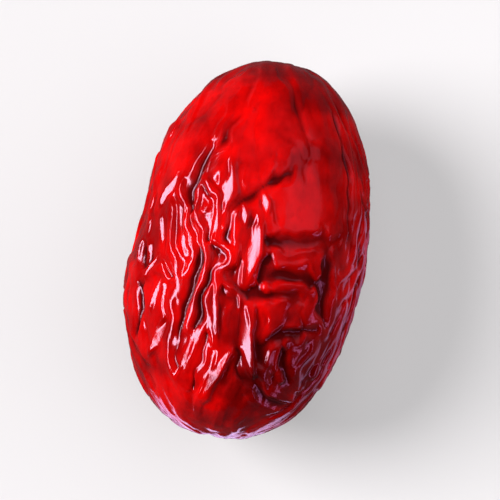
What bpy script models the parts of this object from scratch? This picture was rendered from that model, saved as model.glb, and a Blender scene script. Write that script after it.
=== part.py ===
"""Dried jujube: one wrinkled fruit lying on its side, stem end towards -X."""
import math

import bmesh
import bpy
import numpy as np

NODE = "jujube"
MM = 0.001

# Outer size and shape, in millimetres
LENGTH = 42.0
WIDTH = 26.0
HEIGHT = 25.0
STEM_BLUNTNESS, TIP_BLUNTNESS = 2.28, 2.12
SEMI = np.array([LENGTH, WIDTH, HEIGHT + 0.4]) / 2
REST_LEVEL = -SEMI[2] + 0.45

# Mesh
GRID = 96
TRIANGLES = 11600

# Skin relief, in millimetres
SEED = 7
SWELLING, SWELLS = 0.25, 26
SHAKE, SHAKE_WAVE = 0.16, 3.4
BROAD_WAVE, BROAD_HEIGHT = 5.4, 0.34
FINE_WAVE, FINE_HEIGHT = 2.45, 0.50
BROAD_WIDTH, FINE_WIDTH = 3.0, 1.25
BROAD_PATCHES, FINE_PATCHES = 260, 1000
# Turn of the crests away from lengthwise, in radians, and how long a patch is for its width
FAN, STRETCH = 0.3, 2.3
# Folds: patch width for each mm of spacing, pull on the ripples, gain in height, loose ones
FOLD_SPAN, FOLD_WEIGHT, FOLD_GAIN, LOOSE_FOLDS = 0.34, 2.6, 1.5, 60
# Share by which the random ripples are lower where the placed folds give the shape, and where
# that fades out: degrees round from the top, mm along from the middle
CALMING = 0.80
TRACED_ROUND, TRACED_ALONG = (55, 72), (15.0, 18.0)
# Share by which the broad ripples are lower at the stem end
STEM_CALMING = 0.65

# Flat facets of the skin: lean towards +Y in degrees, share of the fruit's slope that they
# follow lengthwise, bow in 1/mm, lift, greatest rise and reach below the skin in millimetres
FACET_LEAN, FACET_FOLLOW, FACET_BOW = 27.0, 0.85, 0.03
FACET_LIFT, FACET_RISE, FACET_REACH = 0.05, 1.00, 6.0

# Stem hollow, set below the axis, and tip dimple, in millimetres
STEM_DEPTH, STEM_RADIUS, STEM_DROP = 1.8, 1.5, 2.2
STEM_LIP, STEM_LIP_RADIUS = 0.15, 3.2
TIP_DEPTH, TIP_RADIUS = 0.8, 1.1
PUCKERS, PUCKER_HEIGHT = 11, 0.10

# Skin colour
SKIN_COLOUR = (0.30, 0.004, 0.005, 1.0)
SKIN_ROUGHNESS = 0.28

RIDGE, FURROW = 0.0, math.pi

# Folds seen from above: kind, spacing, share of the full height, and points (mm along the
# fruit, degrees round it)
FOLDS = (
    (RIDGE, 1.9, 1.0, ((3.8, -41), (1.8, -35), (-0.3, -32), (-1.6, -27))),
    (RIDGE, 1.9, 1.0, ((4.8, -26), (3.6, -19), (1.4, -18), (-0.8, -17))),
    (RIDGE, 1.9, 1.0, ((6.0, -14), (3.9, -13), (1.9, -14), (-0.9, -13))),
    (RIDGE, 2.0, 1.1, ((1.4, -27), (-0.4, -25), (-2.8, -18), (-4.9, -18), (-7.7, -22),
                       (-10.2, -23))),
    (RIDGE, 2.7, 1.0, ((-11.4, -18), (-13.4, -21), (-15.3, -25))),
    (FURROW, 2.2, 1.2, ((-4.8, -24), (-7.5, -26), (-10.3, -28))),
    (RIDGE, 1.9, 0.8, ((1.6, -31), (0.9, -27), (1.5, -25))),
    (RIDGE, 2.1, 1.1, ((-1.1, -14), (-2.7, -7), (-4.2, -9), (-5.1, -11))),
    (RIDGE, 2.6, 1.0, ((-5.2, -11), (-7.3, -12), (-9.0, -11), (-10.5, -9))),
    (FURROW, 2.0, 1.2, ((-5.4, -16), (-7.8, -18), (-10.1, -18))),
    (RIDGE, 2.0, 0.9, ((-5.1, -9), (-5.9, -4), (-6.9, 2))),
    (RIDGE, 3.2, 1.1, ((1.2, 5), (-1.2, 5), (-3.4, 3), (-4.4, 8))),
    (RIDGE, 3.0, 1.0, ((-7.8, 5), (-9.7, 8), (-11.6, 11), (-13.6, 16))),
    (RIDGE, 2.8, 1.0, ((-13.2, 1), (-14.8, -5), (-16.5, -8), (-17.5, -11))),
    (RIDGE, 2.2, 0.9, ((0.7, -43), (-1.4, -41), (-4.5, -35), (-5.9, -31), (-8.3, -35),
                       (-11.1, -33))),
    (RIDGE, 2.0, 0.8, ((-5.4, -40), (-6.0, -33), (-5.5, -28))),
    (RIDGE, 2.6, 0.9, ((-11.4, -32), (-13.5, -37), (-15.5, -36), (-16.3, -30))),
    (FURROW, 3.4, 0.8, ((6.5, 6), (5.2, 1), (4.0, -6))),
    (FURROW, 2.8, 0.8, ((11.0, -26), (8.7, -29), (6.4, -33), (4.8, -34))),
    (RIDGE, 2.6, 0.5, ((11.5, -28), (10.5, -28), (9.5, -28))),
    (FURROW, 3.4, 0.8, ((0.0, 11), (0.4, 20), (1.0, 32))),
    (FURROW, 3.4, 0.9, ((-4.2, 13), (-3.2, 22), (-3.2, 31), (-3.5, 40))),
    (FURROW, 3.0, 0.6, ((-6.4, 4), (-5.9, 12), (-5.6, 20))),
    (FURROW, 3.2, 1.2, ((-1.6, 42), (-3.1, 44), (-4.9, 47))),
    (RIDGE, 2.6, 0.3, ((12.1, 15), (11.3, 25), (11.8, 38))),
    (RIDGE, 2.4, 0.5, ((17.4, -75), (14.8, -62), (12.1, -57))),
    (FURROW, 2.6, 0.4, ((18.4, -32), (16.7, -26), (15.0, -24))),
    (FURROW, 2.4, 0.4, ((19.5, 1), (17.4, 9), (15.3, 14))),
    (RIDGE, 2.0, 0.7, ((16.5, 49), (13.9, 55), (11.1, 58), (8.3, 59))),
    (RIDGE, 2.0, 0.8, ((13.9, 63), (11.6, 72), (9.5, 78))),
    (FURROW, 2.2, 0.7, ((14.0, 49), (10.9, 52), (7.5, 54), (4.0, 55))),
    (RIDGE, 2.0, 0.9, ((7.9, 64), (5.0, 64), (2.0, 63))),
    (RIDGE, 2.0, 0.7, ((-1.1, 62), (-2.7, 52), (-5.1, 54))),
    (RIDGE, 2.1, 0.5, ((-5.2, 39), (-6.9, 41), (-7.9, 52))),
    (RIDGE, 2.1, 0.5, ((-9.0, 42), (-10.2, 49), (-13.1, 46), (-14.5, 57))),
    (RIDGE, 2.0, 0.9, ((-5.2, 66), (-7.9, 65), (-10.6, 61), (-12.4, 64))),
    (RIDGE, 2.0, 0.6, ((-7.7, 19), (-9.1, 22), (-10.6, 21))),
    (FURROW, 3.0, 1.0, ((-12.2, 19), (-10.8, 23), (-9.5, 31), (-8.8, 40))),
    (FURROW, 2.6, 0.9, ((-11.3, 31), (-13.6, 41))),
    (RIDGE, 2.2, 0.4, ((-14.1, 23), (-15.4, 34), (-16.0, 52))),
    (FURROW, 2.4, 0.8, ((-14.6, 17), (-16.0, 28), (-16.4, 41))),
)

# Flat lens-shaped facets: both ends (mm along, degrees round) and half width in mm
FACETS = (
    ((5.4, -46), (2.2, -53), 0.60),
    ((0.5, -51), (-1.8, -46), 0.38),
    ((-3.6, -48), (-6.0, -55), 0.38),
    ((-6.0, -43), (-9.3, -49), 0.42),
    ((-10.4, -38), (-14.0, -53), 0.60),
    ((-11.0, -19), (-15.4, -29), 0.38),
    ((-13.1, 1), (-17.4, -12), 0.55),
    ((-7.7, 4), (-13.8, 16), 0.60),
    ((1.2, 4), (-4.3, 3), 0.75),
    ((5.0, 2), (2.9, 6), 0.50),
    ((3.2, -6), (1.0, -3), 0.50),
    ((6.4, -15), (2.9, -15), 0.68),
    ((2.7, -18), (-1.0, -16), 0.36),
    ((-5.8, -13), (-10.6, -7), 0.38),
    ((11.7, -29), (8.7, -28), 0.36),
    ((13.6, -18), (14.1, -14), 0.32),
)

# Taut patches: mm along, degrees round, half length in mm, half width in degrees
TAUT = ((13.0, 0, 10.0, 58), (3.0, 30, 9.5, 30), (-7.5, 25, 3.5, 14))

# Shallow dents and swellings: mm along, degrees round, height and spread in mm
DENTS = (
    (1.2, -88, -0.8, 3.6),
    (-7.5, -80, 0.35, 3.5),
    (12.0, 62, -0.45, 4.5),
    (-13.5, -60, -0.4, 4.0),
    (-1.6, 5, 0.35, 1.8),
)


def unit(vectors):
    """Vectors scaled to length one."""
    length = np.linalg.norm(vectors, axis=-1, keepdims=True)
    return vectors / np.maximum(length, 1e-12)


def ramp(value, low, high):
    """Smooth step from 0 at low to 1 at high."""
    t = np.clip((value - low) / (high - low), 0, 1)
    return t * t * (3 - 2 * t)


def bluntness(along):
    """Exponent of the barrel: the stem end is blunter than the tip."""
    return np.where(along < 0, STEM_BLUNTNESS, TIP_BLUNTNESS)


def barrel(directions):
    """Points of the smooth barrel along unit directions."""
    blunt = bluntness(directions[:, 0])
    across = np.hypot(directions[:, 1] / SEMI[1], directions[:, 2] / SEMI[2])
    total = (np.abs(directions[:, 0]) / SEMI[0]) ** blunt + across ** blunt
    return directions * (total ** (-1 / blunt))[:, None]


def outward(points):
    """Unit normals of the smooth barrel."""
    blunt = bluntness(points[:, 0])
    across = np.hypot(points[:, 1] / SEMI[1], points[:, 2] / SEMI[2])
    slope = points / SEMI ** 2 * (np.maximum(across, 1e-9) ** (blunt - 2))[:, None]
    ends = np.abs(points[:, 0] / SEMI[0]) ** (blunt - 1) / SEMI[0]
    slope[:, 0] = np.sign(points[:, 0]) * ends
    return unit(slope)


def lengthwise(normals):
    """Unit tangents that run from stem to tip."""
    tangents = np.array([1.0, 0.0, 0.0]) - normals * normals[:, :1]
    tangents[np.linalg.norm(tangents, axis=1) < 1e-3] = (0.0, 1.0, 0.0)
    return unit(tangents)


def place(along, degrees):
    """Points of the barrel, from mm along it and degrees round it from the top."""
    along = np.asarray(along, float)
    angle = np.radians(np.asarray(degrees, float))
    blunt = bluntness(along)
    across = np.maximum(1 - np.abs(along / SEMI[0]) ** blunt, 0) ** (1 / blunt)
    y = -SEMI[1] * across * np.sin(angle)
    z = SEMI[2] * across * np.cos(angle)
    return np.stack([along, y, z], axis=1)


def degrees_round(points):
    """Angle round the fruit from the top, positive towards -Y."""
    return np.degrees(np.arctan2(-points[:, 1] / SEMI[1], points[:, 2] / SEMI[2]))


def swell(directions, draw, count, narrow):
    """Uneven swellings of about unit size."""
    height = np.zeros(len(directions))
    for _ in range(count):
        centre = unit(draw.normal(size=3))
        width = draw.uniform(4, narrow)
        height += draw.normal() * np.exp(width * (directions @ centre - 1))
    return height * 2.5 / math.sqrt(count)


def dents(points):
    """Height of the hand-placed dents and swellings."""
    height = np.zeros(len(points))
    for along, degrees, rise, spread in DENTS:
        apart = points - place([along], [degrees])
        height += rise * np.exp(-(apart * apart).sum(axis=1) / (2 * spread ** 2))
    return height


def tremor(points, draw, wave, count=14):
    """Even random waves of about unit size in all directions."""
    total = np.zeros(len(points))
    for _ in range(count):
        steps = unit(draw.normal(size=3)) * 2 * math.pi / (wave * draw.uniform(0.65, 1.6))
        total += np.sin(points @ steps + draw.uniform(0, 2 * math.pi))
    return total * math.sqrt(2 / count)


class Slices:
    """Points sorted along the fruit, so that those near a place are found fast."""

    def __init__(self, points):
        self.order = np.argsort(points[:, 0], kind="stable")
        self.points = points[self.order]

    def near(self, centre, across, width):
        """Indices, offsets across the crests and bell weights of the points round a centre."""
        reach = 2.3 * width * STRETCH
        first, last = np.searchsorted(self.points[:, 0], [centre[0] - reach, centre[0] + reach])
        offset = self.points[first:last] - centre
        side = offset @ across
        far = (offset * offset).sum(axis=1) - side * side
        square = side * side + far / STRETCH ** 2
        keep = np.nonzero(square < (2.3 * width) ** 2)[0]
        return first + keep, side[keep], np.exp(-square[keep] / (2 * width ** 2))


def strewn(count, draw):
    """Evenly strewn unit directions with a little disorder."""
    step = np.arange(count) + 0.5
    x = 1 - 2 * step / count
    radius = np.sqrt(1 - x * x)
    angle = math.pi * (1 + math.sqrt(5)) * step
    points = np.stack([x, radius * np.cos(angle), radius * np.sin(angle)], axis=1)
    return unit(points + draw.normal(0, 0.9 / math.sqrt(count), points.shape))


def random_ripples(draw, wave, fan, count):
    """Ripple patches all over the fruit, crests mostly lengthwise."""
    centres = barrel(strewn(count, draw))
    normals = outward(centres)
    tangents = lengthwise(normals)
    turn = draw.normal(0, fan, count)[:, None]
    across = np.cross(normals, tangents) * np.cos(turn) + tangents * np.sin(turn)
    waves = wave * draw.uniform(0.7, 1.45, count)
    return centres, across, draw.uniform(0, 2 * math.pi, count), waves


def smooth_line(points, steps=8):
    """Even curve through a few points."""
    keys = np.array(points, float)
    keys = np.vstack([2 * keys[0] - keys[1], keys, 2 * keys[-1] - keys[-2]])
    t = np.linspace(0, 1, steps, endpoint=False)[:, None]
    pieces = []
    for a, b, c, d in zip(keys[:-3], keys[1:-2], keys[2:-1], keys[3:]):
        bend = (2 * a - 5 * b + 4 * c - d) * t ** 2 + (3 * b - a - 3 * c + d) * t ** 3
        pieces.append(0.5 * (2 * b + (c - a) * t + bend))
    return np.vstack(pieces + [keys[-2:-1]])


def fold_ripples(folds, gap=0.7):
    """Ripple patches strung along the folds, so that crests follow them."""
    rows = []
    for kind, wave, depth, points in folds:
        path = smooth_line(points)
        line = place(path[:, 0], path[:, 1])
        run = np.concatenate([[0], np.cumsum(np.linalg.norm(np.diff(line, axis=0), axis=1))])
        stops = np.linspace(0, run[-1], max(2, int(run[-1] / gap) + 1))
        spots = np.stack([np.interp(stops, run, line[:, k]) for k in range(3)], axis=1)
        across = unit(np.cross(outward(spots), np.gradient(spots, axis=0)))
        values = [np.full(len(spots), value) for value in (kind, wave, depth)]
        rows.append((spots, across, *values))
    return [np.concatenate(column) for column in zip(*rows)]


def loose_folds(draw):
    """Short folds on the sides, the back and the underside."""
    folds = []
    while len(folds) < LOOSE_FOLDS:
        along, degrees = draw.uniform(-17, 16), draw.uniform(-180, 180)
        heading = draw.normal(0, 0.5)
        points = [(along, degrees)]
        for _ in range(draw.integers(2, 5)):
            heading += draw.normal(0, 0.35)
            along -= 2.4 * math.cos(heading)
            degrees += math.degrees(2.4 * math.sin(heading) / SEMI[1])
            points.append((along, degrees))
        kind = RIDGE if draw.random() < 0.55 else FURROW
        if abs(along) < 18 and not -62 < points[0][1] < 66:
            folds.append((kind, draw.uniform(2.0, 3.2), draw.uniform(0.6, 1.1), points))
    return folds


def ripples(points, patches, width, guides=None):
    """Phase, strength and fold share of all ripple patches together."""
    slices = Slices(points)
    total = np.zeros(len(points), complex)
    power = np.zeros(len(points))
    ruled = np.zeros(len(points))
    for centre, across, start, wave in zip(*patches):
        where, side, bell = slices.near(centre, across, width)
        total[where] += bell * np.exp(1j * (2 * math.pi / wave * side + start))
        power[where] += bell * bell
    for centre, across, start, wave, depth in zip(*guides) if guides else ():
        where, side, bell = slices.near(centre, across, FOLD_SPAN * wave)
        total[where] += FOLD_WEIGHT * bell * np.exp(1j * (2 * math.pi / wave * side + start))
        power[where] += bell * bell
        ruled[where] = np.maximum(ruled[where], depth * bell)
    result = np.empty((3, len(points)))
    strength = np.abs(total) / np.sqrt(np.maximum(power, 1e-9))
    result[:, slices.order] = np.angle(total), ramp(strength, 0.05, 1.1), ruled
    return result


def mesa(phase):
    """Flat-topped ridge at phase 0 with a slightly raised rim on both sides."""
    turn = np.abs(phase)
    step = 1 / (1 + np.exp(np.minimum((turn - 1.4) / 0.22, 30)))
    return 0.85 * step + 0.22 * np.exp(-((turn - 1.1) / 0.4) ** 2) - 0.42


def pillow(phase):
    """Round ridge at phase 0 with a sharp furrow."""
    return np.abs(np.cos(phase / 2)) ** 0.55 - 0.75


def slackness(points):
    """1 where the skin is slack, near 0 where it is taut."""
    degrees = degrees_round(points)
    taut = np.zeros(len(points))
    for along, turn, half_length, half_width in TAUT:
        apart = np.hypot((points[:, 0] - along) / half_length, (degrees - turn) / half_width)
        taut = np.maximum(taut, 1 - ramp(apart, 0.65, 1.05))
    rims = ramp(np.abs(points[:, 0]), 15.5, 19.0)
    return (1 - 0.9 * taut) * (1 - 0.7 * rims)


def traced(points):
    """1 on the upper side, where the placed folds give the shape, and 0 below it."""
    turn, along = np.abs(degrees_round(points)), np.abs(points[:, 0])
    return (1 - ramp(turn, *TRACED_ROUND)) * (1 - ramp(along, *TRACED_ALONG))


def ends_relief(points, draw):
    """Stem hollow with its lip, tip dimple, and puckers round both."""
    rise = points[:, 2] + np.where(points[:, 0] < 0, STEM_DROP, 0.0)
    radius = np.hypot(points[:, 1], rise)
    turn = np.arctan2(points[:, 1], rise)
    uneven = 1 + 0.25 * np.sin(2 * turn + 0.7) + 0.15 * np.sin(3 * turn + 2.1)
    stem = -STEM_DEPTH * np.exp(-(radius / STEM_RADIUS) ** 2 / uneven)
    stem += STEM_LIP * uneven * np.exp(-((radius - STEM_LIP_RADIUS) / 1.4) ** 2)
    tip = -TIP_DEPTH * np.exp(-(radius / TIP_RADIUS) ** 2)
    wobble = 0.8 * np.sin(turn + draw.uniform(0, 6)) + 0.5 * np.sin(2 * turn + radius / 3)
    rays = np.abs(np.cos(PUCKERS / 2 * turn + wobble)) ** 0.6 - 0.7
    rays *= PUCKER_HEIGHT * ramp(radius, 1.2, 2.6) * (1 - ramp(radius, 5.0, 8.5))
    return rays + np.where(points[:, 0] < 0, stem, tip)


def facets(points, height):
    """Height with the flat facets worked in."""
    lean = math.radians(FACET_LEAN)
    normals = outward(points)
    for first, last, half_width in FACETS:
        ends = place((first[0], last[0]), (first[1], last[1]))
        slope = FACET_FOLLOW * outward(ends)[:, 0].mean()
        facing = unit(np.array([slope, math.sin(lean), math.cos(lean)]))
        run = ends[1] - ends[0]
        offset = points - ends.mean(axis=0)
        side = offset @ unit(np.cross(facing, run))
        pointed = np.abs(offset @ unit(run)) / (np.linalg.norm(run) / 2) + (side / half_width) ** 2
        share = 1 - ramp(pointed, 0.8, 1.5)
        share[offset @ facing < -FACET_REACH] = 0
        level = -(offset @ facing) / np.maximum(normals @ facing, 0.3) - FACET_BOW * side * side
        level = FACET_RISE * np.tanh(level / FACET_RISE)
        level += FACET_LIFT + (share * (height - level)).sum() / share.sum()
        height = height + share * (level - height)
    return height


def relief(directions, points):
    """Height of the skin over the barrel."""
    draw = np.random.default_rng(SEED)
    height = SWELLING * swell(directions, draw, SWELLS, 12) + dents(points)
    slack = slackness(points)
    patchy = 0.10 + (0.35 + 0.65 * ramp(swell(directions, draw, 60, 30), -0.6, 0.6)) * slack
    patchy *= 1 - CALMING * traced(points)
    blend = ramp(swell(directions, draw, 60, 30), -0.5, 0.4)
    shaken = [tremor(points, draw, SHAKE_WAVE) for _ in range(3)]
    shaken = points + SHAKE * np.stack(shaken, axis=1)
    patches = random_ripples(draw, BROAD_WAVE, FAN, BROAD_PATCHES)
    phase, strength, _ = ripples(shaken, patches, BROAD_WIDTH)
    calm = 1 - STEM_CALMING * ramp(-points[:, 0], 12.5, 17.0)
    broad = BROAD_HEIGHT * (0.5 + 0.5 * slack) * calm * strength * pillow(phase)
    guides = fold_ripples(list(FOLDS) + loose_folds(draw))
    patches = random_ripples(draw, FINE_WAVE, FAN, FINE_PATCHES)
    phase, strength, ruled = ripples(shaken, patches, FINE_WIDTH, guides)
    share = FINE_HEIGHT * strength * np.maximum(patchy, FOLD_GAIN * ruled)
    share *= 1 + 0.18 * tremor(points, draw, 3.0)
    fine = share * (blend * mesa(phase) + (1 - blend) * pillow(phase))
    height = facets(points, height + broad + fine)
    sole = 1 - ramp(points[:, 2], REST_LEVEL + 0.1, REST_LEVEL + 1.6)
    return height * (1 - sole) + ends_relief(points, draw)


def settle(points):
    """Press in the flat spot and fit the outer size, bottom centre at the origin."""
    points[:, 2] = np.maximum(points[:, 2], REST_LEVEL)
    low, high = points.min(axis=0), points.max(axis=0)
    middle = np.array([(low[0] + high[0]) / 2, (low[1] + high[1]) / 2, low[2]])
    return (points - middle) * np.array([LENGTH, WIDTH, HEIGHT]) / (high - low)


def coordinates(mesh):
    """Vertex positions of a mesh as an array."""
    flat = np.empty(3 * len(mesh.vertices))
    mesh.vertices.foreach_get("co", flat)
    return flat.reshape(-1, 3)


def clear_scene():
    """Remove the objects that the scene opens with."""
    for item in list(bpy.data.objects):
        bpy.data.objects.remove(item)


def gridded_box(name):
    """Cube with every face divided into an even grid."""
    mesh = bpy.data.meshes.new(name)
    grid = bmesh.new()
    bmesh.ops.create_cube(grid, size=2.0)
    bmesh.ops.subdivide_edges(grid, edges=grid.edges[:], cuts=GRID - 1, use_grid_fill=True)
    grid.to_mesh(mesh)
    grid.free()
    return mesh


def shape_skin(mesh):
    """Round the gridded box into the barrel and raise the skin relief."""
    directions = unit(np.tan(coordinates(mesh) * math.pi / 4) * SEMI)
    points = barrel(directions)
    points += outward(points) * relief(directions, points)[:, None]
    mesh.vertices.foreach_set("co", (settle(points) * MM).ravel())
    mesh.update()


def thin_out(item):
    """Keep the triangles where the skin bends and drop them where it is even."""
    thin = item.modifiers.new("thin", "DECIMATE")
    thin.ratio = TRIANGLES / (2 * len(item.data.polygons))
    evaluated = item.evaluated_get(bpy.context.evaluated_depsgraph_get())
    mesh = bpy.data.meshes.new_from_object(evaluated)
    item.modifiers.clear()
    item.data = mesh
    mesh.vertices.foreach_set("co", trued(coordinates(mesh)).ravel())
    mesh.update()


def trued(points):
    """Level the flat spot and restore the outer size after thinning."""
    points[:, 2] = np.where(points[:, 2] < 0.03 * MM, 0.0, points[:, 2])
    low, high = points.min(axis=0), points.max(axis=0)
    middle = np.array([(low[0] + high[0]) / 2, (low[1] + high[1]) / 2, low[2]])
    return (points - middle) * np.array([LENGTH, WIDTH, HEIGHT]) * MM / (high - low)


def skin_material():
    """Glossy deep red skin."""
    material = bpy.data.materials.new("skin")
    material.use_nodes = True
    shader = material.node_tree.nodes["Principled BSDF"]
    shader.inputs["Base Color"].default_value = SKIN_COLOUR
    shader.inputs["Roughness"].default_value = SKIN_ROUGHNESS
    shader.inputs["Metallic"].default_value = 0.0
    material.diffuse_color = SKIN_COLOUR
    return material


def main():
    """Build the fruit in its collection."""
    clear_scene()
    group = bpy.data.collections.new(NODE)
    bpy.context.scene.collection.children.link(group)
    fruit = bpy.data.objects.new(NODE, gridded_box(NODE))
    group.objects.link(fruit)
    shape_skin(fruit.data)
    thin_out(fruit)
    fruit.data.name = NODE
    fruit.data.materials.append(skin_material())
    fruit.data.shade_smooth()


main()
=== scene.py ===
"""Studio picture of one dried jujube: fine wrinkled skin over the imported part."""
import math

import bmesh
import bpy
import numpy as np
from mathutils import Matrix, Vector


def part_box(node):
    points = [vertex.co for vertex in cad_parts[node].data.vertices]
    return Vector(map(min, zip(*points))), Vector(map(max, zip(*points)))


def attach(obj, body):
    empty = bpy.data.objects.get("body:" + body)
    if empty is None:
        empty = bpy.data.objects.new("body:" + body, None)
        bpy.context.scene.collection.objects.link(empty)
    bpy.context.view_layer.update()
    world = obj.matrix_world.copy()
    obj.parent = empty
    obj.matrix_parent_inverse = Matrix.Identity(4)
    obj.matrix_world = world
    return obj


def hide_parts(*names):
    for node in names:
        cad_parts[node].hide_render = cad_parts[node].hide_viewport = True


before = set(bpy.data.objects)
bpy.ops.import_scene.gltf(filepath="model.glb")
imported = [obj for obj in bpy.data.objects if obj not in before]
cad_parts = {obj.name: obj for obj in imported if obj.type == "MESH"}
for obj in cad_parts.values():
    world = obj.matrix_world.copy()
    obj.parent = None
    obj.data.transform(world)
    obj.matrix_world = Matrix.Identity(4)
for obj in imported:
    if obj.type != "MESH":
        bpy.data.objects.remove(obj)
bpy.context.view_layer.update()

NODE = "jujube"
PIECE = "jujube_skin"
# Mesh layer of furrow depth, which sets the painted shade in the furrows
FURROW_SHADE_LAYER = "furrow"
MM = 0.001

# Outer size and shape, in millimetres
LENGTH = 42.0
WIDTH = 26.0
HEIGHT = 25.0
STEM_BLUNTNESS, TIP_BLUNTNESS = 2.28, 2.12
# What the smooth barrel is taller by, and what the flat spot underneath cuts off it
EXTRA_HEIGHT, SOLE_CUT = 0.4, 0.45
SEMI = np.array([LENGTH, WIDTH, HEIGHT + EXTRA_HEIGHT]) / 2
REST_LEVEL = -SEMI[2] + SOLE_CUT

# Skin relief, in millimetres
SEED = 7
SWELLING, SWELLS = 0.25, 26
SHAKE, SHAKE_WAVE = 0.16, 3.4
BROAD_WAVE, BROAD_HEIGHT = 5.4, 0.34
FINE_WAVE, FINE_HEIGHT = 2.45, 0.50
BROAD_WIDTH, FINE_WIDTH = 3.0, 1.25
BROAD_PATCHES, FINE_PATCHES = 260, 1000
# Sharpness of the narrowest swellings, and number and sharpness of the regions that differ
# in their wrinkles
SWELL_SHARPNESS, REGIONS, REGION_SHARPNESS = 12, 60, 30
# Turn of the crests away from lengthwise, in radians, how long a patch is for its width, and
# its reach in widths
FAN, STRETCH, REACH = 0.3, 2.3, 2.3
# Share of the full height that the fine ripples keep in taut skin and in calm regions, and
# share and wave by which their height varies
TAUT_SHARE, CALM_SHARE = 0.10, 0.35
UNEVENNESS, UNEVEN_WAVE = 0.18, 3.0
# Folds: patch width for each mm of spacing, pull on the ripples, and gain in height
FOLD_SPAN, FOLD_WEIGHT, FOLD_GAIN = 0.34, 2.6, 1.5
# Loose folds: number, length of one step, and degrees round between which none starts
LOOSE_FOLDS, LOOSE_STEP, PLACED_ROUND = 60, 2.4, (-62, 66)
# Share by which the random ripples are lower where the placed folds give the shape, and where
# that fades out: degrees round from the top, mm along from the middle
CALMING = 0.80
TRACED_ROUND, TRACED_ALONG = (55, 72), (15.0, 18.0)
# Share by which the broad ripples are lower at the stem end, and where that sets in
STEM_CALMING, STEM_CALM_ALONG = 0.65, (12.5, 17.0)
# Where the ripples grow calm towards both ends, along from the middle, and where the relief
# sets in above the flat spot
ENDS_ALONG, SOLE_FADE = (15.5, 19.0), (0.1, 1.6)

# Flat facets of the skin: lean towards +Y in degrees, share of the fruit's slope that they
# follow lengthwise, bow in 1/mm, lift, greatest rise and reach below the skin in millimetres
FACET_LEAN, FACET_FOLLOW, FACET_BOW = 27.0, 0.85, 0.03
FACET_LIFT, FACET_RISE, FACET_REACH = 0.05, 1.00, 6.0
# Where a facet's edge fades, as a share of its size
FACET_EDGE = (0.8, 1.5)

# Stem hollow, set below the axis, and tip dimple, in millimetres
STEM_DEPTH, STEM_RADIUS, STEM_DROP = 1.8, 1.5, 2.2
STEM_LIP, STEM_LIP_RADIUS, STEM_LIP_WIDTH = 0.15, 3.2, 1.4
TIP_DEPTH, TIP_RADIUS = 0.8, 1.1
# Puckers round both: number, height, and the radii where they set in and fade out
PUCKERS, PUCKER_HEIGHT = 11, 0.10
PUCKER_START, PUCKER_END = (1.2, 2.6), (5.0, 8.5)

# Finest creases: spacing, height and patch width in millimetres, number of patches, turn of
# the crests away from lengthwise in radians, and share by which placed folds calm them
TINY_WAVE, TINY_HEIGHT, TINY_WIDTH = 1.15, 0.04, 0.5
TINY_PATCHES, TINY_FAN, TINY_CALMING = 4500, 0.6, 0.9

# Cells along each edge of the box that is blown up into the fruit
GRID = 128

# Kinds of fold, as the ripple's phase along the fold
RIDGE, FURROW = 0.0, math.pi

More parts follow.
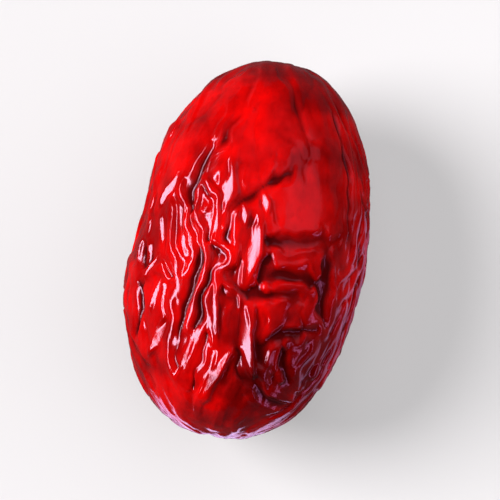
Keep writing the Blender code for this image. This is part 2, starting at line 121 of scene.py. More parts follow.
# Folds seen from above: kind, spacing, share of the full height, and points (mm along the
# fruit, degrees round it)
FOLDS = (
    (RIDGE, 1.9, 1.0, ((3.8, -41), (1.8, -35), (-0.3, -32), (-1.6, -27))),
    (RIDGE, 1.9, 1.0, ((4.8, -26), (3.6, -19), (1.4, -18), (-0.8, -17))),
    (RIDGE, 1.9, 1.0, ((6.0, -14), (3.9, -13), (1.9, -14), (-0.9, -13))),
    (RIDGE, 2.0, 1.1, ((1.4, -27), (-0.4, -25), (-2.8, -18), (-4.9, -18), (-7.7, -22),
                       (-10.2, -23))),
    (RIDGE, 2.7, 1.0, ((-11.4, -18), (-13.4, -21), (-15.3, -25))),
    (FURROW, 2.2, 1.2, ((-4.8, -24), (-7.5, -26), (-10.3, -28))),
    (RIDGE, 1.9, 0.8, ((1.6, -31), (0.9, -27), (1.5, -25))),
    (RIDGE, 2.1, 1.1, ((-1.1, -14), (-2.7, -7), (-4.2, -9), (-5.1, -11))),
    (RIDGE, 2.6, 1.0, ((-5.2, -11), (-7.3, -12), (-9.0, -11), (-10.5, -9))),
    (FURROW, 2.0, 1.2, ((-5.4, -16), (-7.8, -18), (-10.1, -18))),
    (RIDGE, 2.0, 0.9, ((-5.1, -9), (-5.9, -4), (-6.9, 2))),
    (RIDGE, 3.2, 1.1, ((1.2, 5), (-1.2, 5), (-3.4, 3), (-4.4, 8))),
    (RIDGE, 3.0, 1.0, ((-7.8, 5), (-9.7, 8), (-11.6, 11), (-13.6, 16))),
    (RIDGE, 2.8, 1.0, ((-13.2, 1), (-14.8, -5), (-16.5, -8), (-17.5, -11))),
    (RIDGE, 2.2, 0.9, ((0.7, -43), (-1.4, -41), (-4.5, -35), (-5.9, -31), (-8.3, -35),
                       (-11.1, -33))),
    (RIDGE, 2.0, 0.8, ((-5.4, -40), (-6.0, -33), (-5.5, -28))),
    (RIDGE, 2.6, 0.9, ((-11.4, -32), (-13.5, -37), (-15.5, -36), (-16.3, -30))),
    (FURROW, 3.4, 0.8, ((6.5, 6), (5.2, 1), (4.0, -6))),
    (FURROW, 2.8, 0.8, ((11.0, -26), (8.7, -29), (6.4, -33), (4.8, -34))),
    (RIDGE, 2.6, 0.5, ((11.5, -28), (10.5, -28), (9.5, -28))),
    (FURROW, 3.4, 0.8, ((0.0, 11), (0.4, 20), (1.0, 32))),
    (FURROW, 3.4, 0.9, ((-4.2, 13), (-3.2, 22), (-3.2, 31), (-3.5, 40))),
    (FURROW, 3.0, 0.6, ((-6.4, 4), (-5.9, 12), (-5.6, 20))),
    (FURROW, 3.2, 1.2, ((-1.6, 42), (-3.1, 44), (-4.9, 47))),
    (RIDGE, 2.6, 0.3, ((12.1, 15), (11.3, 25), (11.8, 38))),
    (RIDGE, 2.4, 0.5, ((17.4, -75), (14.8, -62), (12.1, -57))),
    (FURROW, 2.6, 0.4, ((18.4, -32), (16.7, -26), (15.0, -24))),
    (FURROW, 2.4, 0.4, ((19.5, 1), (17.4, 9), (15.3, 14))),
    (RIDGE, 2.0, 0.7, ((16.5, 49), (13.9, 55), (11.1, 58), (8.3, 59))),
    (RIDGE, 2.0, 0.8, ((13.9, 63), (11.6, 72), (9.5, 78))),
    (FURROW, 2.2, 0.7, ((14.0, 49), (10.9, 52), (7.5, 54), (4.0, 55))),
    (RIDGE, 2.0, 0.9, ((7.9, 64), (5.0, 64), (2.0, 63))),
    (RIDGE, 2.0, 0.7, ((-1.1, 62), (-2.7, 52), (-5.1, 54))),
    (RIDGE, 2.1, 0.5, ((-5.2, 39), (-6.9, 41), (-7.9, 52))),
    (RIDGE, 2.1, 0.5, ((-9.0, 42), (-10.2, 49), (-13.1, 46), (-14.5, 57))),
    (RIDGE, 2.0, 0.9, ((-5.2, 66), (-7.9, 65), (-10.6, 61), (-12.4, 64))),
    (RIDGE, 2.0, 0.6, ((-7.7, 19), (-9.1, 22), (-10.6, 21))),
    (FURROW, 3.0, 1.0, ((-12.2, 19), (-10.8, 23), (-9.5, 31), (-8.8, 40))),
    (FURROW, 2.6, 0.9, ((-11.3, 31), (-13.6, 41))),
    (RIDGE, 2.2, 0.4, ((-14.1, 23), (-15.4, 34), (-16.0, 52))),
    (FURROW, 2.4, 0.8, ((-14.6, 17), (-16.0, 28), (-16.4, 41))),
)

# Flat lens-shaped facets: both ends (mm along, degrees round) and half width in mm
FACETS = (
    ((5.4, -46), (2.2, -53), 0.60),
    ((0.5, -51), (-1.8, -46), 0.38),
    ((-3.6, -48), (-6.0, -55), 0.38),
    ((-6.0, -43), (-9.3, -49), 0.42),
    ((-10.4, -38), (-14.0, -53), 0.60),
    ((-11.0, -19), (-15.4, -29), 0.38),
    ((-13.1, 1), (-17.4, -12), 0.55),
    ((-7.7, 4), (-13.8, 16), 0.60),
    ((1.2, 4), (-4.3, 3), 0.75),
    ((5.0, 2), (2.9, 6), 0.50),
    ((3.2, -6), (1.0, -3), 0.50),
    ((6.4, -15), (2.9, -15), 0.68),
    ((2.7, -18), (-1.0, -16), 0.36),
    ((-5.8, -13), (-10.6, -7), 0.38),
    ((11.7, -29), (8.7, -28), 0.36),
    ((13.6, -18), (14.1, -14), 0.32),
)

# Taut patches: mm along, degrees round, half length in mm, half width in degrees
TAUT = ((13.0, 0, 10.0, 58), (3.0, 30, 9.5, 30), (-7.5, 25, 3.5, 14))

# Shallow dents and swellings: mm along, degrees round, height and spread in mm
DENTS = (
    (1.2, -88, -0.8, 3.6),
    (-7.5, -80, 0.35, 3.5),
    (12.0, 62, -0.45, 4.5),
    (-13.5, -60, -0.4, 4.0),
    (-1.6, 5, 0.35, 1.8),
)

# Skin colours
DEEP_RED = (0.17, 0.0006, 0.0008, 1.0)
BRIGHT_RED = (0.42, 0.0010, 0.0010, 1.0)
SPECK_RED = (0.16, 0.001, 0.001, 1.0)
# Painted shade: dark red laid over patches of the skin, darkening them as if in shade
SHADE_PATCH_RED = (0.06, 0.0006, 0.0008, 1.0)
# Painted shade: near black laid in the furrows
FURROW_SHADE_RED = (0.04, 0.0006, 0.0008, 1.0)
SCAR_TAN = (0.22, 0.075, 0.03, 1.0)
# Greatest share that the specks, the painted shade patches and the painted shade in the furrows
# take
SPECK_SHARE, SHADE_PATCH_SHARE, FURROW_SHADE_SHARE = 0.35, 0.62, 0.95
# Depth in millimetres that counts as a full furrow, weight of the broad ripples in it, and
# the shares of it between which the painted furrow shade comes in
FULL_SHADE_DEPTH, BROAD_IN_FURROW_SHADE, FURROW_SHADE_RANGE = 0.36, 0.6, (0.05, 0.8)
# Stem scar: its middle, and the radii between which it fades out, in metres
STEM_SPOT = (-0.5 * LENGTH * MM, 0.0, (0.5 * HEIGHT - STEM_DROP) * MM)
SCAR_FADE = (0.0012, 0.0026)
# Painted shade patches on the skin: middle and radius, and how far their edges stray, in metres
PAINTED_SHADE_SPOTS = (
    ((-0.0118, -0.0077, 0.0205), 0.0095),
    ((-0.0172, -0.0030, 0.0180), 0.0050),
    ((0.0205, 0.0, 0.0150), 0.0085),
)
SHADE_PATCH_STRAY = 0.002
# Share of a painted shade patch's radius that is fully dark
SHADE_PATCH_CORE = 0.3

# Skin gloss
ROUGHNESS = (0.08, 0.16)
INDEX_OF_REFRACTION = 1.36
GLOSS_TINT = (1.0, 0.69, 0.93, 1.0)

# Skin patterns: cells for each metre, and noise values between which they come in
MOTTLE_SCALE, STRAY_SCALE, SPECK_SCALE, GLOSS_SCALE = 240.0, 260.0, 1400.0, 420.0
MOTTLE_RANGE, SPECK_RANGE, GLOSS_RANGE = (0.35, 0.65), (0.55, 0.75), (0.3, 0.7)
# Grain: cells for each metre, strength, and depth in metres
COARSE_GRAIN, COARSE_BUMP, COARSE_DEPTH = 620.0, 0.25, 0.00012
FINE_GRAIN, FINE_BUMP, FINE_DEPTH = 1900.0, 0.3, 0.00005
# Factors by which the grain is drawn out along the fruit
GRAIN_STRETCH = (0.45, 1.0, 1.0)

# Floor: two tones seen directly, the tone that its bounced light has, and the tone that the
# gloss shows
FLOOR_TONES = ((0.29, 0.29, 0.29, 1.0), (0.31, 0.31, 0.31, 1.0))
FLOOR_BOUNCE = (0.20, 0.20, 0.20, 1.0)
FLOOR_IN_GLOSS = (0.05, 0.045, 0.05, 1.0)
# Floor's own glow seen directly, cells of its tones for each metre, and half width in metres
FLOOR_GLOW, FLOOR_SCALE, FLOOR_HALF_WIDTH = 0.30, 9.0, 1.5
FLOOR_ROUGHNESS = 0.9
WHITE = (1.0, 1.0, 1.0, 1.0)
BACKDROP_STRENGTH = 0.95

# Panels seen in the gloss alone: name, place in metres, power in watts, colour, and length and
# width in metres
GLOSS_PANELS = (
    ("key", (-0.04, 0.27, 0.212), 4.2, (1.0, 0.94, 0.97), 0.46, 0.085),
    ("rim", (-0.14, -0.35, 0.06), 0.20, (1.0, 0.42, 0.80), 0.30, 0.03),
    ("sheen", (0.16, -0.21, 0.225), 0.10, (1.0, 0.72, 0.80), 0.21, 0.21),
)
# Lilac panels that lie on the floor and shine up, described in the same way
FLOOR_PANELS = (
    ("side glow", (-0.006, -0.026, 0.0006), 0.0014, (0.82, 0.52, 1.0), 0.034, 0.016),
    ("end glow", (-0.0265, -0.002, 0.0006), 0.0019, (0.78, 0.55, 1.0), 0.006, 0.034),
)
# Far lights kept out of the gloss: name, place that they shine from, strength, colour, and
# apparent width in degrees
FAR_LIGHTS = (
    ("day", (0.0, 0.29, 0.24), 7.3, (1.0, 0.95, 0.97), 35),
    ("fill", (0.16, -0.20, 0.34), 3.1, (1.0, 0.97, 1.0), 100),
)

# Camera: angles in degrees, distances in metres, sensor in millimetres
CAMERA_AZIMUTH, CAMERA_ELEVATION = 281.5, 84.0
CAMERA_DISTANCE, FIELD_WIDTH = 0.42, 0.055
CAMERA_TARGET = Vector((0.0, 0.0, 0.012))
SENSOR_WIDTH = 36.0


def unit(vectors):
    """Vectors scaled to length one."""
    length = np.linalg.norm(vectors, axis=-1, keepdims=True)
    return vectors / np.maximum(length, 1e-12)


def ramp(value, low, high):
    """Smooth step from 0 at low to 1 at high."""
    t = np.clip((value - low) / (high - low), 0, 1)
    return t * t * (3 - 2 * t)


def bluntness(along):
    """Exponent of the barrel: the stem end is blunter than the tip."""
    return np.where(along < 0, STEM_BLUNTNESS, TIP_BLUNTNESS)


def barrel(directions):
    """Points of the smooth barrel along unit directions."""
    blunt = bluntness(directions[:, 0])
    across = np.hypot(directions[:, 1] / SEMI[1], directions[:, 2] / SEMI[2])
    total = (np.abs(directions[:, 0]) / SEMI[0]) ** blunt + across ** blunt
    return directions * (total ** (-1 / blunt))[:, None]


def outward(points):
    """Unit normals of the smooth barrel."""
    blunt = bluntness(points[:, 0])
    across = np.hypot(points[:, 1] / SEMI[1], points[:, 2] / SEMI[2])
    slope = points / SEMI ** 2 * (np.maximum(across, 1e-9) ** (blunt - 2))[:, None]
    ends = np.abs(points[:, 0] / SEMI[0]) ** (blunt - 1) / SEMI[0]
    slope[:, 0] = np.sign(points[:, 0]) * ends
    return unit(slope)


def lengthwise(normals):
    """Unit tangents that run from stem to tip."""
    tangents = np.array([1.0, 0.0, 0.0]) - normals * normals[:, :1]
    tangents[np.linalg.norm(tangents, axis=1) < 1e-3] = (0.0, 1.0, 0.0)
    return unit(tangents)


def place(along, degrees):
    """Points of the barrel, from mm along it and degrees round it from the top."""
    along = np.asarray(along, float)
    angle = np.radians(np.asarray(degrees, float))
    blunt = bluntness(along)
    across = np.maximum(1 - np.abs(along / SEMI[0]) ** blunt, 0) ** (1 / blunt)
    y = -SEMI[1] * across * np.sin(angle)
    z = SEMI[2] * across * np.cos(angle)
    return np.stack([along, y, z], axis=1)


def degrees_round(points):
    """Angle round the fruit from the top, positive towards -Y."""
    return np.degrees(np.arctan2(-points[:, 1] / SEMI[1], points[:, 2] / SEMI[2]))


def swell(directions, draw, count, sharpest):
    """Uneven swellings of about unit size."""
    height = np.zeros(len(directions))
    for _ in range(count):
        centre = unit(draw.normal(size=3))
        sharpness = draw.uniform(4, sharpest)
        height += draw.normal() * np.exp(sharpness * (directions @ centre - 1))
    return height * 2.5 / math.sqrt(count)


def dents(points):
    """Height of the listed dents and swellings."""
    height = np.zeros(len(points))
    for along, degrees, rise, spread in DENTS:
        apart = points - place([along], [degrees])
        height += rise * np.exp(-(apart * apart).sum(axis=1) / (2 * spread ** 2))
    return height


def tremor(points, draw, wave, count=14):
    """Even random waves of about unit size in all directions."""
    total = np.zeros(len(points))
    for _ in range(count):
        steps = unit(draw.normal(size=3)) * 2 * math.pi / (wave * draw.uniform(0.65, 1.6))
        total += np.sin(points @ steps + draw.uniform(0, 2 * math.pi))
    return total * math.sqrt(2 / count)


class Slices:
    """Points sorted along the fruit, so that those near a place are found fast."""

    def __init__(self, points):
        self.order = np.argsort(points[:, 0], kind="stable")
        self.points = points[self.order]

    def near(self, centre, across, width):
        """Indices, offsets across the crests and bell weights of the points round a centre."""
        reach = REACH * width
        limits = (centre[0] - reach * STRETCH, centre[0] + reach * STRETCH)
        first, last = np.searchsorted(self.points[:, 0], limits)
        offset = self.points[first:last] - centre
        side = offset @ across
        far = (offset * offset).sum(axis=1) - side * side
        square = side * side + far / STRETCH ** 2
        keep = np.nonzero(square < reach ** 2)[0]
        return first + keep, side[keep], np.exp(-square[keep] / (2 * width ** 2))


def strewn(count, draw):
    """Evenly strewn unit directions with a little disorder."""
    step = np.arange(count) + 0.5
    x = 1 - 2 * step / count
    radius = np.sqrt(1 - x * x)
    angle = math.pi * (1 + math.sqrt(5)) * step
    points = np.stack([x, radius * np.cos(angle), radius * np.sin(angle)], axis=1)
    return unit(points + draw.normal(0, 0.9 / math.sqrt(count), points.shape))


def random_ripples(draw, wave, fan, count):
    """Ripple patches all over the fruit, crests mostly lengthwise."""
    centres = barrel(strewn(count, draw))
    normals = outward(centres)
    tangents = lengthwise(normals)
    turn = draw.normal(0, fan, count)[:, None]
    across = np.cross(normals, tangents) * np.cos(turn) + tangents * np.sin(turn)
    waves = wave * draw.uniform(0.7, 1.45, count)
    return centres, across, draw.uniform(0, 2 * math.pi, count), waves


def smooth_line(points, steps=8):
    """Even curve through a few points."""
    keys = np.array(points, float)
    keys = np.vstack([2 * keys[0] - keys[1], keys, 2 * keys[-1] - keys[-2]])
    t = np.linspace(0, 1, steps, endpoint=False)[:, None]
    pieces = []
    for a, b, c, d in zip(keys[:-3], keys[1:-2], keys[2:-1], keys[3:]):
        bend = (2 * a - 5 * b + 4 * c - d) * t ** 2 + (3 * b - a - 3 * c + d) * t ** 3
        pieces.append(0.5 * (2 * b + (c - a) * t + bend))
    return np.vstack(pieces + [keys[-2:-1]])


def fold_ripples(folds, gap=0.7):
    """Ripple patches strung along the folds, so that crests follow them."""
    rows = []
    for kind, wave, depth, points in folds:
        path = smooth_line(points)
        line = place(path[:, 0], path[:, 1])
        run = np.concatenate([[0], np.cumsum(np.linalg.norm(np.diff(line, axis=0), axis=1))])
        stops = np.linspace(0, run[-1], max(2, int(run[-1] / gap) + 1))
        spots = np.stack([np.interp(stops, run, line[:, k]) for k in range(3)], axis=1)
        across = unit(np.cross(outward(spots), np.gradient(spots, axis=0)))
        values = [np.full(len(spots), value) for value in (kind, wave, depth)]
        rows.append((spots, across, *values))
    return [np.concatenate(column) for column in zip(*rows)]


def loose_folds(draw):
    """Short folds on the sides, the back and the underside."""
    folds = []
    while len(folds) < LOOSE_FOLDS:
        along, degrees = draw.uniform(-17, 16), draw.uniform(-180, 180)
        heading = draw.normal(0, 0.5)
        points = [(along, degrees)]
        for _ in range(draw.integers(2, 5)):
            heading += draw.normal(0, 0.35)
            along -= LOOSE_STEP * math.cos(heading)
            degrees += math.degrees(LOOSE_STEP * math.sin(heading) / SEMI[1])
            points.append((along, degrees))
        kind = RIDGE if draw.random() < 0.55 else FURROW
        if abs(along) < 18 and not PLACED_ROUND[0] < points[0][1] < PLACED_ROUND[1]:
            folds.append((kind, draw.uniform(2.0, 3.2), draw.uniform(0.6, 1.1), points))
    return folds


def ripples(points, patches, width, guides=None):
    """Phase, strength and fold share of all ripple patches together."""
    slices = Slices(points)
    total = np.zeros(len(points), complex)
    power = np.zeros(len(points))
    ruled = np.zeros(len(points))
    for centre, across, start, wave in zip(*patches):
        where, side, bell = slices.near(centre, across, width)
        total[where] += bell * np.exp(1j * (2 * math.pi / wave * side + start))
        power[where] += bell * bell
    for centre, across, start, wave, depth in zip(*guides) if guides else ():
        where, side, bell = slices.near(centre, across, FOLD_SPAN * wave)
        total[where] += FOLD_WEIGHT * bell * np.exp(1j * (2 * math.pi / wave * side + start))
        power[where] += bell * bell
        ruled[where] = np.maximum(ruled[where], depth * bell)
    result = np.empty((3, len(points)))
    strength = np.abs(total) / np.sqrt(np.maximum(power, 1e-9))
    result[:, slices.order] = np.angle(total), ramp(strength, 0.05, 1.1), ruled
    return result


def crest(phase):
    """Narrow rounded crest at phase 0 with a wide valley."""
    return 1.25 * (1.02 - np.sqrt(np.sin(phase / 2) ** 2 + 0.04)) ** 1.3 - 0.25


def mesa(phase):
    """Flat-topped ridge at phase 0 with a slightly raised rim on both sides."""
    turn = np.abs(phase)
    step = 1 / (1 + np.exp(np.minimum((turn - 1.4) / 0.22, 30)))
    return 0.85 * step + 0.22 * np.exp(-((turn - 1.1) / 0.4) ** 2) - 0.42


def pillow(phase):
    """Round ridge at phase 0 with a sharp furrow."""
    return np.abs(np.cos(phase / 2)) ** 0.55 - 0.75


def slackness(points):
    """1 where the skin is slack, near 0 where it is taut."""
    degrees = degrees_round(points)
    taut = np.zeros(len(points))
    for along, turn, half_length, half_width in TAUT:
        apart = np.hypot((points[:, 0] - along) / half_length, (degrees - turn) / half_width)
        taut = np.maximum(taut, 1 - ramp(apart, 0.65, 1.05))
    ends = ramp(np.abs(points[:, 0]), *ENDS_ALONG)
    return (1 - 0.9 * taut) * (1 - 0.7 * ends)


def traced(points):
    """1 on the upper side, where the placed folds give the shape, and 0 below it."""
    turn, along = np.abs(degrees_round(points)), np.abs(points[:, 0])
    return (1 - ramp(turn, *TRACED_ROUND)) * (1 - ramp(along, *TRACED_ALONG))


def ends_relief(points, draw):
    """Stem hollow with its lip, tip dimple, and puckers round both."""
    rise = points[:, 2] + np.where(points[:, 0] < 0, STEM_DROP, 0.0)
    radius = np.hypot(points[:, 1], rise)
    turn = np.arctan2(points[:, 1], rise)
    uneven = 1 + 0.25 * np.sin(2 * turn + 0.7) + 0.15 * np.sin(3 * turn + 2.1)
    stem = -STEM_DEPTH * np.exp(-(radius / STEM_RADIUS) ** 2 / uneven)
    lip = (radius - STEM_LIP_RADIUS) / STEM_LIP_WIDTH
    stem += STEM_LIP * uneven * np.exp(-lip ** 2)
    tip = -TIP_DEPTH * np.exp(-(radius / TIP_RADIUS) ** 2)
    wobble = 0.8 * np.sin(turn + draw.uniform(0, 6)) + 0.5 * np.sin(2 * turn + radius / 3)
    rays = np.abs(np.cos(PUCKERS / 2 * turn + wobble)) ** 0.6 - 0.7
    rays *= PUCKER_HEIGHT * ramp(radius, *PUCKER_START) * (1 - ramp(radius, *PUCKER_END))
    return rays + np.where(points[:, 0] < 0, stem, tip)


def facets(points, height):
    """Height with the flat facets worked in, and the share of the skin that they take."""
    lean = math.radians(FACET_LEAN)
    normals = outward(points)
    shares = np.zeros(len(points))
    for first, last, half_width in FACETS:
        ends = place((first[0], last[0]), (first[1], last[1]))
        slope = FACET_FOLLOW * outward(ends)[:, 0].mean()
        facing = unit(np.array([slope, math.sin(lean), math.cos(lean)]))
        run = ends[1] - ends[0]
        offset = points - ends.mean(axis=0)
        side = offset @ unit(np.cross(facing, run))
        pointed = np.abs(offset @ unit(run)) / (np.linalg.norm(run) / 2) + (side / half_width) ** 2
        share = 1 - ramp(pointed, *FACET_EDGE)
        share[offset @ facing < -FACET_REACH] = 0
        level = -(offset @ facing) / np.maximum(normals @ facing, 0.3) - FACET_BOW * side * side
        level = FACET_RISE * np.tanh(level / FACET_RISE)
        level += FACET_LIFT + (share * (height - level)).sum() / share.sum()
        height = height + share * (level - height)
        shares = np.maximum(shares, share)
    return height, shares


def shaken(points, draw):
    """Points moved a little, so that the crests drawn through them waver."""
    shifts = [tremor(points, draw, SHAKE_WAVE) for _ in range(3)]
    return points + SHAKE * np.stack(shifts, axis=1)


def wrinkling(directions, points, slack, draw):
    """Share of the full height that the random fine ripples have, region by region."""
    regions = ramp(swell(directions, draw, REGIONS, REGION_SHARPNESS), -0.6, 0.6)
    share = TAUT_SHARE + (CALM_SHARE + (1 - CALM_SHARE) * regions) * slack
    return share * (1 - CALMING * traced(points))


def broad_ripples(points, wavering, slack, draw):
    """Height of the broad ripples, calmer where the skin is taut and at the stem end."""
    patches = random_ripples(draw, BROAD_WAVE, FAN, BROAD_PATCHES)
    phase, strength, _ = ripples(wavering, patches, BROAD_WIDTH)
    calm = 1 - STEM_CALMING * ramp(-points[:, 0], *STEM_CALM_ALONG)
    return BROAD_HEIGHT * (0.5 + 0.5 * slack) * calm * strength * pillow(phase)


def fine_ripples(points, wavering, wrinkled, flat, draw):
    """Height of the fine ripples, which follow the folds and stand taller there."""
    guides = fold_ripples(list(FOLDS) + loose_folds(draw))
    patches = random_ripples(draw, FINE_WAVE, FAN, FINE_PATCHES)
    phase, strength, ruled = ripples(wavering, patches, FINE_WIDTH, guides)
    share = FINE_HEIGHT * strength * np.maximum(wrinkled, FOLD_GAIN * ruled)
    share *= 1 + UNEVENNESS * tremor(points, draw, UNEVEN_WAVE)
    return share * (flat * mesa(phase) + (1 - flat) * pillow(phase))


def tiny_creases(points, slack):
    """Height of the finest creases, whose random draws are apart from all the others."""
    draw = np.random.default_rng(SEED + 1)
    patches = random_ripples(draw, TINY_WAVE, TINY_FAN, TINY_PATCHES)
    phase, strength, _ = ripples(points, patches, TINY_WIDTH)
    calm = 1 - TINY_CALMING * traced(points)
    return TINY_HEIGHT * (0.3 + 0.7 * slack) * calm * strength * crest(phase)


def relief(directions, points):
    """Skin height over the barrel, and how far each place lies in a furrow, for painted shade."""
    draw = np.random.default_rng(SEED)
    height = SWELLING * swell(directions, draw, SWELLS, SWELL_SHARPNESS) + dents(points)
    slack = slackness(points)
    wrinkled = wrinkling(directions, points, slack, draw)
    flat = ramp(swell(directions, draw, REGIONS, REGION_SHARPNESS), -0.5, 0.4)
    wavering = shaken(points, draw)
    broad = broad_ripples(points, wavering, slack, draw)
    fine = fine_ripples(points, wavering, wrinkled, flat, draw)
    # Painted shade mask: deeper furrows get a darker colour
    furrow_shade_mask = ramp(-fine - BROAD_IN_FURROW_SHADE * broad, 0.0, FULL_SHADE_DEPTH)
    height, shares = facets(points, height + broad + fine + tiny_creases(points, slack))
    furrow_shade_mask *= 1 - shares
    sole = 1 - ramp(points[:, 2] - REST_LEVEL, *SOLE_FADE)
    return height * (1 - sole) + ends_relief(points, draw), furrow_shade_mask


def coordinates(mesh):
    """Vertex positions of a mesh as an array."""
    flat = np.empty(3 * len(mesh.vertices))
    mesh.vertices.foreach_get("co", flat)
    return flat.reshape(-1, 3)


def gridded_box(name):
    """Cube with every face divided into an even grid."""
    mesh = bpy.data.meshes.new(name)
    grid = bmesh.new()
    bmesh.ops.create_cube(grid, size=2.0)
    bmesh.ops.subdivide_edges(grid, edges=grid.edges[:], cuts=GRID - 1, use_grid_fill=True)
    grid.to_mesh(mesh)
    grid.free()
    return mesh


def fit_to_part(points):
    """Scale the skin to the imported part's box, in metres."""
    low, high = (np.array(corner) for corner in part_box(NODE))
    start, end = points.min(axis=0), points.max(axis=0)
    return low + (points - start) * (high - low) / (end - start)


def fruit_piece():
    """Mesh of the wrinkled fruit, with the furrow depth kept for painted shade in the furrows."""
    mesh = gridded_box(PIECE)
    directions = unit(np.tan(coordinates(mesh) * math.pi / 4) * SEMI)
    points = barrel(directions)
    height, furrow_shade_mask = relief(directions, points)
    points += outward(points) * height[:, None]
    points[:, 2] = np.maximum(points[:, 2], REST_LEVEL)
    mesh.vertices.foreach_set("co", fit_to_part(points).ravel())
    furrow = mesh.attributes.new(FURROW_SHADE_LAYER, "FLOAT", "POINT")
    furrow.data.foreach_set("value", furrow_shade_mask.astype(np.float32))
    mesh.update()
    mesh.shade_smooth()
    fruit = bpy.data.objects.new(PIECE, mesh)
    bpy.context.scene.collection.objects.link(fruit)
    return fruit


class Nodes:
    """Short way to add and join shader nodes."""

    def __init__(self, name):
        self.material = bpy.data.materials.new(name)
        self.material.use_nodes = True
        self.tree = self.material.node_tree
        self.shader = self.tree.nodes["Principled BSDF"]

    def feed(self, node, inputs):
        """Set a node's inputs to values, or link them to other nodes' outputs."""
        for socket, value in inputs.items():
            if isinstance(value, bpy.types.NodeSocket):
                self.tree.links.new(value, node.inputs[socket])
            else:
                node.inputs[socket].default_value = value

    def add(self, kind, inputs, **settings):
        """New node with its settings and its inputs."""
        node = self.tree.nodes.new(kind)
        for key, value in settings.items():
            setattr(node, key, value)
        self.feed(node, inputs)
        return node

    def position(self):
        """Place of the shaded point, in metres."""
        return self.add("ShaderNodeNewGeometry", {}).outputs["Position"]


def noise(nodes, position, scale, detail=3.0, rough=0.5):
    """Noise value at a position."""
    inputs = {"Vector": position, "Scale": scale, "Detail": detail, "Roughness": rough}
    return nodes.add("ShaderNodeTexNoise", inputs).outputs["Fac"]


def spread_value(nodes, value, low, high, start=0.0, end=1.0):
    """Value mapped from low..high to start..end, held at both ends."""
    inputs = {"Value": value, "From Min": low, "From Max": high, "To Min": start, "To Max": end}
    return nodes.add("ShaderNodeMapRange", inputs).outputs["Result"]


def far_from(nodes, position, spot):
    """Distance of a position from a spot, in metres."""
    inputs = {0: position, 1: spot}
    return nodes.add("ShaderNodeVectorMath", inputs, operation="DISTANCE").outputs["Value"]


def mixed(nodes, share, first, second):
    """Colour mixed from first to second by a share."""
    inputs = {0: share, 6: first, 7: second}
    return nodes.add("ShaderNodeMix", inputs, data_type="RGBA").outputs[2]


def painted_shade_patches(nodes, position, colour):
    """Colour with painted shade patches laid over it, their edges uneven."""
    stray = noise(nodes, position, STRAY_SCALE)
    stray = spread_value(nodes, stray, *MOTTLE_RANGE, -SHADE_PATCH_STRAY, SHADE_PATCH_STRAY)
    # Painted shade: each spot darkens the colour towards its middle
    for spot, radius in PAINTED_SHADE_SPOTS:
        inputs = {0: far_from(nodes, position, spot), 1: stray}
        reach = nodes.add("ShaderNodeMath", inputs, operation="ADD").outputs[0]
        shade = spread_value(nodes, reach, SHADE_PATCH_CORE * radius, radius, SHADE_PATCH_SHARE, 0.0)
        colour = mixed(nodes, shade, colour, SHADE_PATCH_RED)
    return colour


def skin_colour(nodes, position, drawn_out):
    """Mottled deep red with specks, painted shade in patches and furrows, and a tan stem scar."""
    mottle = spread_value(nodes, noise(nodes, position, MOTTLE_SCALE, 4.0), *MOTTLE_RANGE)
    colour = mixed(nodes, mottle, DEEP_RED, BRIGHT_RED)
    specks = noise(nodes, drawn_out, SPECK_SCALE, 2.0)
    specks = spread_value(nodes, specks, *SPECK_RANGE, 0.0, SPECK_SHARE)
    colour = painted_shade_patches(nodes, position, mixed(nodes, specks, colour, SPECK_RED))
    # Painted shade: the colour darkens towards near black in the furrows
    furrow = nodes.add("ShaderNodeAttribute", {}, attribute_name=FURROW_SHADE_LAYER).outputs["Fac"]
    furrow = spread_value(nodes, furrow, *FURROW_SHADE_RANGE, 0.0, FURROW_SHADE_SHARE)
    colour = mixed(nodes, furrow, colour, FURROW_SHADE_RED)
    scar = spread_value(nodes, far_from(nodes, position, STEM_SPOT), *SCAR_FADE, 1.0, 0.0)
    return mixed(nodes, scar, colour, SCAR_TAN)


def skin_grain(nodes, drawn_out):
    """Normal of the leathery grain: a coarse bump with a fine one on it."""
    coarse = noise(nodes, drawn_out, COARSE_GRAIN, 2.0)
    fine = noise(nodes, drawn_out, FINE_GRAIN, 4.0, 0.6)
    inputs = {"Height": coarse, "Strength": COARSE_BUMP, "Distance": COARSE_DEPTH}
    normal = nodes.add("ShaderNodeBump", inputs).outputs["Normal"]
    inputs = {"Height": fine, "Strength": FINE_BUMP, "Distance": FINE_DEPTH, "Normal": normal}
    return nodes.add("ShaderNodeBump", inputs).outputs["Normal"]


def skin_material():
    """Glossy dried skin: deep red with painted shade in the furrows, and a fine leathery grain."""
    nodes = Nodes("jujube skin")
    position = nodes.position()
    inputs = {0: position, 1: GRAIN_STRETCH}
    drawn_out = nodes.add("ShaderNodeVectorMath", inputs, operation="MULTIPLY").outputs[0]
    uneven = noise(nodes, position, GLOSS_SCALE)
    nodes.feed(nodes.shader, {
        "Base Color": skin_colour(nodes, position, drawn_out),
        "Roughness": spread_value(nodes, uneven, *GLOSS_RANGE, *ROUGHNESS),
        "Normal": skin_grain(nodes, drawn_out),
        "IOR": INDEX_OF_REFRACTION,
        "Specular Tint": GLOSS_TINT,
    })
    return nodes.material


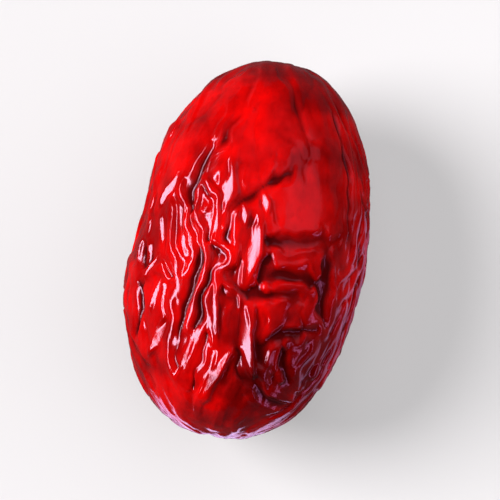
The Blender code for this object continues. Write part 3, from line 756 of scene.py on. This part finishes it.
def floor_material():
    """Plain near-white matt floor, darker in the gloss and in its bounced light than seen
    directly, so that it puts no pale wash over the dark skin."""
    nodes = Nodes("pale floor")
    path = nodes.add("ShaderNodeLightPath", {}).outputs
    tone = noise(nodes, nodes.position(), FLOOR_SCALE)
    seen = mixed(nodes, spread_value(nodes, tone, *GLOSS_RANGE), *FLOOR_TONES)
    unseen = mixed(nodes, path["Is Glossy Ray"], FLOOR_BOUNCE, FLOOR_IN_GLOSS)
    glow = spread_value(nodes, path["Is Camera Ray"], 0.0, 1.0, 0.0, FLOOR_GLOW)
    nodes.feed(nodes.shader, {
        "Base Color": mixed(nodes, path["Is Camera Ray"], unseen, seen),
        "Roughness": FLOOR_ROUGHNESS,
        "Specular IOR Level": 0.0,
        "Emission Color": WHITE,
        "Emission Strength": glow,
    })
    return nodes.material


def floor_piece():
    """Floor that the fruit lies on."""
    mesh = bpy.data.meshes.new("floor")
    plane = bmesh.new()
    bmesh.ops.create_grid(plane, x_segments=1, y_segments=1, size=FLOOR_HALF_WIDTH)
    plane.to_mesh(mesh)
    plane.free()
    mesh.materials.append(floor_material())
    floor = bpy.data.objects.new("floor", mesh)
    bpy.context.scene.collection.objects.link(floor)
    return floor


def lamp(name, kind, location, power, colour, **settings):
    """Light aimed at the fruit, out of the camera's sight."""
    data = bpy.data.lights.new(name, kind)
    data.energy = power
    data.color = colour
    for key, value in settings.items():
        setattr(data, key, value)
    light = bpy.data.objects.new(name, data)
    bpy.context.scene.collection.objects.link(light)
    light.location = location
    light.rotation_euler = (CAMERA_TARGET - light.location).to_track_quat("-Z", "Y").to_euler()
    light.visible_camera = False
    return light


def panel(name, location, power, colour, length, width):
    """Rectangular light aimed at the fruit."""
    sizes = {"shape": "RECTANGLE", "size": length, "size_y": width}
    return lamp(name, "AREA", location, power, colour, **sizes)


def add_gloss_lights():
    """Panels for the highlights: a long one on the left, a rim light and a sheen on the right,
    and lilac ones on the floor at the right side and the stem end."""
    for values in GLOSS_PANELS:
        panel(*values).visible_diffuse = False
    for values in FLOOR_PANELS:
        panel(*values).rotation_euler = (math.pi, 0.0, 0.0)


def add_daylight():
    """Soft light from the left and weaker light from above, both kept out of the gloss."""
    for name, location, strength, colour, width in FAR_LIGHTS:
        light = lamp(name, "SUN", location, strength, colour, angle=math.radians(width))
        light.visible_glossy = False


def add_backdrop():
    """White surroundings that only the camera sees."""
    world = bpy.data.worlds.new("studio")
    bpy.context.scene.world = world
    world.use_nodes = True
    sky = world.node_tree.nodes["Background"].inputs
    sky["Color"].default_value = WHITE
    sky["Strength"].default_value = BACKDROP_STRENGTH
    world.cycles_visibility.diffuse = False
    world.cycles_visibility.glossy = False


def add_camera():
    """Long lens looking down on the fruit from its stem end."""
    turn, tilt = math.radians(CAMERA_AZIMUTH), math.radians(CAMERA_ELEVATION)
    level = math.cos(tilt)
    back = Vector((math.sin(turn) * level, -math.cos(turn) * level, math.sin(tilt)))
    data = bpy.data.cameras.new("camera")
    data.sensor_width = SENSOR_WIDTH
    data.lens = SENSOR_WIDTH * CAMERA_DISTANCE / FIELD_WIDTH
    camera = bpy.data.objects.new("camera", data)
    bpy.context.scene.collection.objects.link(camera)
    camera.location = CAMERA_TARGET + back * CAMERA_DISTANCE
    camera.rotation_euler = (-back).to_track_quat("-Z", "Y").to_euler()
    bpy.context.scene.camera = camera


def main():
    """Dress the part and set up the studio."""
    add_camera()
    fruit = fruit_piece()
    fruit.data.materials.append(skin_material())
    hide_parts(NODE)
    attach(fruit, "root")
    floor_piece()
    add_gloss_lights()
    add_daylight()
    add_backdrop()
    bpy.context.scene.view_settings.view_transform = "Standard"


main()
